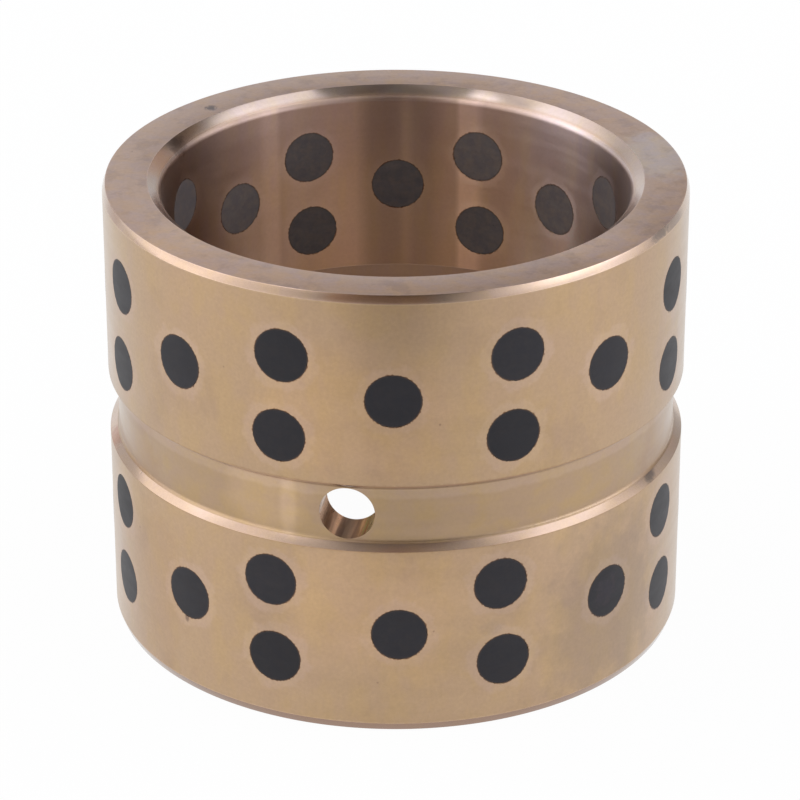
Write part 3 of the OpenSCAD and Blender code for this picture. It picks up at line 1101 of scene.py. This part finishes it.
def faced_bronze():
    """The end faces: fine matt facing marks in rings, pinkish where the surface has dulled."""
    finish = Finish("Faced bronze", 1.0, streak=0.5, film=0.4)
    bench = finish.bench
    finish.tint((0.492, 0.331, 0.245), roughness=0.42, size=0.0035, amount=0.9, seed=41.0, grain=0.09,
                second=(1.04, 1.01, 0.90), third=(0.94, 0.965, 1.09))
    finish.turn(finish.spot["Radius"], pitch=0.00028, depth=1.8, seed=42.0, streak_tint=0.03, run=0.012)
    stains = bench.clouds(bench.dense(finish.place, 220.0), seed=42.5, detail=4.0, roughness=0.65)
    finish.tone(bench.remap(stains, 0.50, 0.66), (0.86, 0.85, 0.86))
    # Edge wear and a painted highlight: a pale broken line along the face's outer and inner edges
    bright = finish.wear(finish.spot["Radius"], [FACE_OUTER_EDGE, FACE_INNER_EDGE], width=0.00022, seed=43.0)
    finish.tone(bright, (1.15, 1.18, 1.22))
    paler_patches = [
        ((34.7, -30.2, 80.0), (10.0, 9.0, 2.0), (1.16, 1.18, 1.20)),
        ((45.0, 9.0, 80.0), (7.0, 12.0, 3.0), (1.10, 1.30, 1.50)),
        ((-36.0, -27.0, 80.0), (7.0, 7.0, 2.0), (1.10, 1.10, 1.04)),
    ]
    for centre, reach, factors in paler_patches:
        patch = finish.mark(centre, reach, ragged=0.8, grain=3.0, seed=43.5)
        finish.tone(patch, factors)
    nick = finish.mark((-32.8, 30.7, 80.0), (1.1, 1.3, 1.0), ragged=2.0, grain=0.6, seed=44.0)
    finish.tone(nick, (0.30, 0.30, 0.34))
    finish.raise_by(nick, microns=-60.0)
    pores = finish.specks(spacing=0.003, radius=0.00018, share=0.35, seed=45.0)
    finish.tone(pores, (0.68, 0.64, 0.62))
    finish.raise_by(pores, microns=-8.0)
    return finish.done()


def drilled_bronze():
    """The walls of the drilled holes: reamed, with dark oily streaks along each hole."""
    finish = Finish("Drilled bronze", 1.0, film=0.5)
    bench = finish.bench
    finish.tint((0.62, 0.41, 0.250), roughness=0.26, size=0.004, amount=0.8, seed=51.0)
    place = bench.split(finish.place)
    # How far a spot is to the right of the oil hole's axis
    side = bench.sum(
        bench.times(place["Y"], math.cos(OIL_HOLE_ANGLE)), bench.times(place["X"], -math.sin(OIL_HOLE_ANGLE))
    )
    finish.turn(finish.spot["Radius"], pitch=0.0004, depth=1.5, seed=52.0, streak_tint=0.03)
    long_way = bench.times(finish.spot["Radius"], 0.08)
    streaked = bench.clouds(bench.dense(bench.vector(side, place["Z"], long_way), 700.0), seed=53.0)
    streaks = bench.remap(streaked, 0.4, 0.62)
    lit_wall = bench.remap(side, 0.6 * MM, 2.8 * MM)
    finish.tone(lit_wall, (2.4, 2.7, 2.4))
    # The wall is darker near the middle, to either side of the hole's axis
    darker_middle = bench.fade(bench.math("ABSOLUTE", side), 0.4 * MM, 2.2 * MM)
    finish.tone(darker_middle, (0.72, 0.66, 0.64))
    finish.tone(streaks, (0.5, 0.45, 0.44))
    finish.roughen(streaks, 0.1)
    return finish.done()


def bronze_finishes():
    return {
        "turned": turned_bronze(), "chamfered": chamfered_bronze(), "grooved": grooved_bronze(),
        "bored": bored_bronze(), "faced": faced_bronze(), "drilled": drilled_bronze(),
    }


def pressed_graphite():
    """Graphite turned flush with the bronze: near black, finely grained, each plug a little different."""
    finish = Finish("Pressed graphite", 0.0)
    bench = finish.bench
    finish.shader["Specular IOR Level"].default_value = 0.34
    finish.tint((0.0195, 0.0170, 0.0215), roughness=0.46, size=0.0016, amount=0.6, seed=61.0, grain=0.12,
                second=(1.30, 1.15, 1.0), third=(0.80, 0.82, 0.92))
    finish.turn(finish.spot["Height"], pitch=0.0003, depth=1.2, seed=62.0, streak_tint=0.08, run=0.01)
    rims = finish.rims()
    own = bench.less(rims["Lot"], 0.5)
    finish.roughen(own, 0.08)
    finish.tone(rims["Lot"], (0.68, 0.68, 0.70))
    # Painted light: the plug ends in the bore are made many times paler
    in_bore = bench.fade(finish.spot["Radius"], BORE_RADIUS, OUTER_RADIUS)
    finish.tone(in_bore, (6.9, 6.8, 5.1))
    near_rim = bench.remap(rims["Distance"], -0.3 * MM, 0.0)
    finish.paint(bench.times(near_rim, 0.5), (0.075, 0.045, 0.028))
    pits = finish.specks(spacing=0.0011, radius=0.00012, share=0.3, seed=63.0)
    finish.tone(pits, (0.45, 0.45, 0.45))
    finish.raise_by(pits, microns=-10.0)
    flakes = finish.specks(spacing=0.0007, radius=0.00006, share=0.2, seed=64.0)
    finish.tone(flakes, (1.8, 1.8, 1.8))
    broken = finish.mark((35.6, -35.1, 18.6), (3.0, 3.0, 3.0), ragged=2.8, grain=1.1, seed=65.0)
    finish.tone(bench.times(broken, 0.7), (2.4, 2.2, 2.1))
    finish.roughen(broken, 0.1)
    return finish.done()


# ---------------------------------------------------------------- studio

# The room is lit in bands of elevation. Each band says where it starts, how soft that edge is, and how bright
# the room is at azimuths from -180 to 180 degrees, with 0 in front of the ring and 90 at +X. The brightnesses
# were fitted to how the real ring's reflections look from the camera's place.
BRIGHTEST = 4.0
PLAIN, COOL, WARM = (0.98, 1.0, 1.04), (0.97, 1.04, 1.17), (1.0, 0.76, 0.62)
ROOM = [
    (-90, 1.0, [
        (-180, 0.9), (-120, 1.3), (-99, 2.15), (-78, 2.1), (-60, 1.35), (-40, 1.1), (-20, 1.0), (0, 0.8),
        (30, 0.65), (48, 1.1), (60, 1.55, COOL), (84, 2.0, COOL), (104, 1.35), (118, 0.6), (140, 0.5),
        (180, 0.85),
    ]),
    (11, 2.0, [
        (-180, 0.95), (-149, 0.9), (-142, 0.75), (-125, 0.8), (-100, 1.5), (-75, 1.95), (-57, 1.3),
        (-41, 0.92), (-30, 0.6), (-24, 0.42, WARM), (-12, 0.24, WARM), (10, 0.24, WARM), (18, 0.27),
        (31, 0.69), (48, 1.5, COOL), (65, 3.0, COOL), (95, 2.8, COOL), (120, 0.9), (136, 0.62),
        (149, 0.6, WARM), (180, 0.95),
    ]),
    (26, 2.0, [
        (-180, 0.4), (-150, 0.9), (-139, 1.0), (-130, 1.7), (-118, 1.8), (-90, 2.2), (-60, 2.4), (-45, 2.3),
        (-32, 1.4), (-18, 0.3, WARM), (0, 0.05, WARM), (60, 0.3), (90, 0.9), (105, 1.5), (117, 1.2),
        (124, 0.66), (131, 0.28, WARM), (139, 0.16, WARM), (150, 0.2), (180, 0.3),
    ]),
    (42, 3.0, [
        (-180, 0.9), (-135, 1.5), (-119, 2.15, COOL), (-103, 2.15, COOL), (-90, 1.5), (-35, 1.6), (0, 0.8),
        (30, 1.2), (60, 1.8), (90, 2.0, COOL), (112, 2.2, COOL), (122, 1.7, COOL), (129, 0.45), (150, 0.4),
        (180, 0.9),
    ]),
    (56, 2.5, [
        (-180, 0.3), (-140, 1.0), (-119, 1.7), (-106, 0.8), (-97, 1.2), (-88, 1.45), (-72, 1.1),
        (-60, 0.8), (-30, 0.5), (0, 0.4, WARM), (40, 0.6), (60, 0.8), (74, 1.2), (84, 1.5, COOL),
        (92, 1.9, COOL), (112, 2.0, COOL), (124, 1.0), (135, 0.4), (180, 0.3),
    ]),
    (64, 2.5, [
        (-180, 0.3), (-120, 0.9), (-104, 0.85), (-97, 1.6, COOL), (-90, 3.5, COOL), (-80, 2.5, COOL),
        (-70, 1.3), (-58, 0.9), (-30, 0.5), (0, 0.4, WARM), (40, 0.5), (60, 0.7), (70, 1.15),
        (78, 1.5, COOL), (86, 1.8, COOL), (104, 2.0, COOL), (118, 1.0), (135, 0.4), (180, 0.3),
    ]),
    (71.7, 1.5, [
        (-180, 0.21), (-85, 0.5), (-62, 0.42), (-48, 0.13, WARM), (-20, 0.20), (10, 0.20), (40, 0.12, WARM),
        (60, 0.15, WARM), (78, 0.28), (180, 0.21),
    ]),
]


def add_world():
    world = bpy.data.worlds.new("Room")
    bpy.context.scene.world = world
    world.use_nodes = True
    bench = Bench(world.node_tree)
    ahead = bench.split(bench.add("ShaderNodeTexCoord").outputs["Generated"])
    azimuth = bench.math("DEGREES", bench.math("ARCTAN2", ahead["X"], bench.times(ahead["Y"], -1.0)))
    elevation = bench.math("DEGREES", bench.math("ARCSINE", ahead["Z"]))
    round_it = bench.remap(azimuth, -180.0, 180.0, kind="LINEAR")
    light = None
    for lower, softness, stops in ROOM:
        ramp = bench.add("ShaderNodeValToRGB", {"Fac": round_it})
        points = ramp.color_ramp.elements
        while len(points) < len(stops):
            points.new(1.0)
        for point, (stop, brightness, *tint) in zip(points, stops):
            point.position = (stop + 180) / 360
            point.color = [part * brightness / BRIGHTEST for part in (tint or [PLAIN])[0]] + [1.0]
        if light is None:
            light = ramp.outputs[0]
        else:
            above = bench.remap(elevation, float(lower - softness), float(lower + softness))
            light = bench.blend(above, light, ramp.outputs[0])
    shade_of_room = world.node_tree.nodes["Background"].inputs
    bench.put(shade_of_room["Color"], light)
    shade_of_room["Strength"].default_value = BRIGHTEST


def add_floor():
    mesh = bpy.data.meshes.new("Floor")
    far = 4.0
    corners = [(-far, -far, 0), (far, -far, 0), (far, far, 0), (-far, far, 0)]
    mesh.from_pydata(corners, [], [(0, 1, 2, 3)])
    floor = bpy.data.objects.new("Floor", mesh)
    bpy.context.collection.objects.link(floor)
    paint = bpy.data.materials.new("White table")
    paint.use_nodes = True
    bench = Bench(paint.node_tree)
    nodes = paint.node_tree.nodes
    matte = nodes["Principled BSDF"]
    matte.inputs["Base Color"].default_value = (0.85, 0.85, 0.85, 1)
    matte.inputs["Roughness"].default_value = 0.9
    matte.inputs["Specular IOR Level"].default_value = 0.1
    # In the metal the table is nearly white close to the ring, and dimmer farther out in front of it
    place = bench.split(bench.add("ShaderNodeTexCoord").outputs["Object"])
    far_front = bench.fade(place["Y"], -240 * MM, -190 * MM)
    centre = bench.fade(bench.math("ABSOLUTE", place["X"]), 70 * MM, 130 * MM)
    dimmed = bench.times(bench.times(far_front, centre), 0.7)
    lit = bench.times(bench.less(1.0, dimmed), 0.95)
    glow = bench.add("ShaderNodeEmission", {"Color": (1, 1, 1, 1)})
    path = bench.add("ShaderNodeLightPath").outputs
    mirrored = bench.math("MAXIMUM", path["Is Glossy Ray"], path["Is Transmission Ray"])
    strength = bench.math("MAXIMUM", path["Is Camera Ray"], bench.times(mirrored, lit))
    bench.put(glow.inputs["Strength"], strength)
    # The share of the glow leaves a little of the plain table, which takes the ring's shadow
    seen = bench.math("MAXIMUM", path["Is Camera Ray"], mirrored)
    share = bench.times(seen, 0.97)
    mix = bench.add("ShaderNodeMixShader", {0: share, 1: matte.outputs[0], 2: glow.outputs[0]})
    bench.put(nodes["Material Output"].inputs["Surface"], mix.outputs[0])
    mesh.materials.append(paint)


add_camera()
add_floor()
add_world()

rods = rod_row()
crisp = smooth_but_crisp()
make_piece("turned_ring", ring_tree(rods, crisp, bronze_finishes()), RING_SIZES, ["bronze_ring"])

plug_row = plug_row_tree(rods, crisp, pressed_graphite())
for row in ROWS:
    make_piece(f"plug_row_{row}", plug_row, plug_row_sizes(row), plug_nodes(row))
